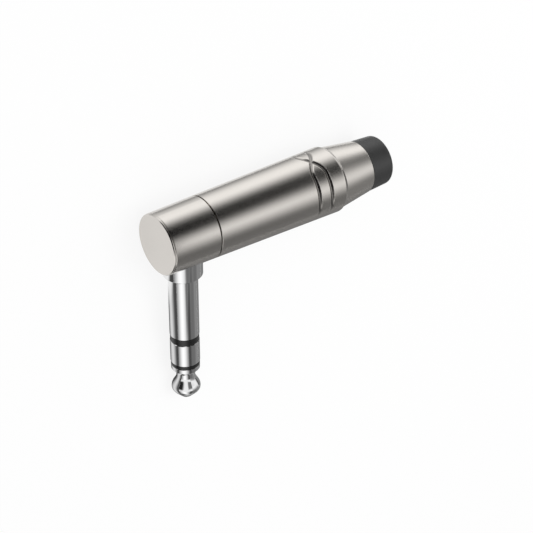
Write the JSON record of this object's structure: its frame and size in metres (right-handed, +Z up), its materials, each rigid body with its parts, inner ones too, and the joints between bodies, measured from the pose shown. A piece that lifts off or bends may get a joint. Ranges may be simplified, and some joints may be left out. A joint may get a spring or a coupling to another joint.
{
  "type": "stereo jack plug",
  "caption": "Right-angle 6.35 mm stereo jack plug with a tapered metal head, a barrel that unscrews and a short black cable boot.",
  "frame": {"origin": "middle of the resting footprint, on the floor, with the plug lying on its side", "axes": "+X along the barrel towards the cable boot; the contact plug points to -Y and slightly down; +Z up"},
  "size_m": [0.058, 0.0483, 0.0147],
  "materials": {
    "satin_nickel": "satin nickel plate",
    "bright_nickel": "bright nickel plate",
    "black_insulator": "moulded",
    "white_insulator": "moulded",
    "lug_brass": "tinned",
    "chuck_plastic": "moulded",
    "boot_rubber": "fine matte"
  },
  "bodies": {
    "head": {"head_housing": "satin_nickel", "end_cap": "satin_nickel", "plug_sleeve": "bright_nickel", "outer_insulator": "white_insulator", "sleeve_spacer": "black_insulator", "ring_contact": "bright_nickel", "inner_insulator": "white_insulator", "tip_spacer": "black_insulator", "tip_contact": "bright_nickel", "ground_lug": "lug_brass", "sleeve_washer": "white_insulator", "ring_lug": "lug_brass", "ring_washer": "white_insulator", "tip_lug": "lug_brass", "lug_guide": "white_insulator", "insulating_liner": "white_insulator"},
    "chuck": {"chuck": "chuck_plastic"},
    "barrel": {"barrel": "satin_nickel", "boot": "boot_rubber"}
  },
  "joints": [
    {"name": "barrel_draw", "type": "slide", "parent": "head", "child": "chuck", "axis": [1, 0, 0], "range_m": [0, 0.005]},
    {"name": "barrel_turn", "type": "hinge", "parent": "chuck", "child": "barrel", "pos_m": [-0.01756, 0.01674, 0.00737], "axis": [1, 0, 0], "range_deg": [0, 1800]}
  ],
  "couplings": [
    {"joint": "barrel_draw", "follows": "barrel_turn", "m_per_rad": 0.00015915}
  ]
}
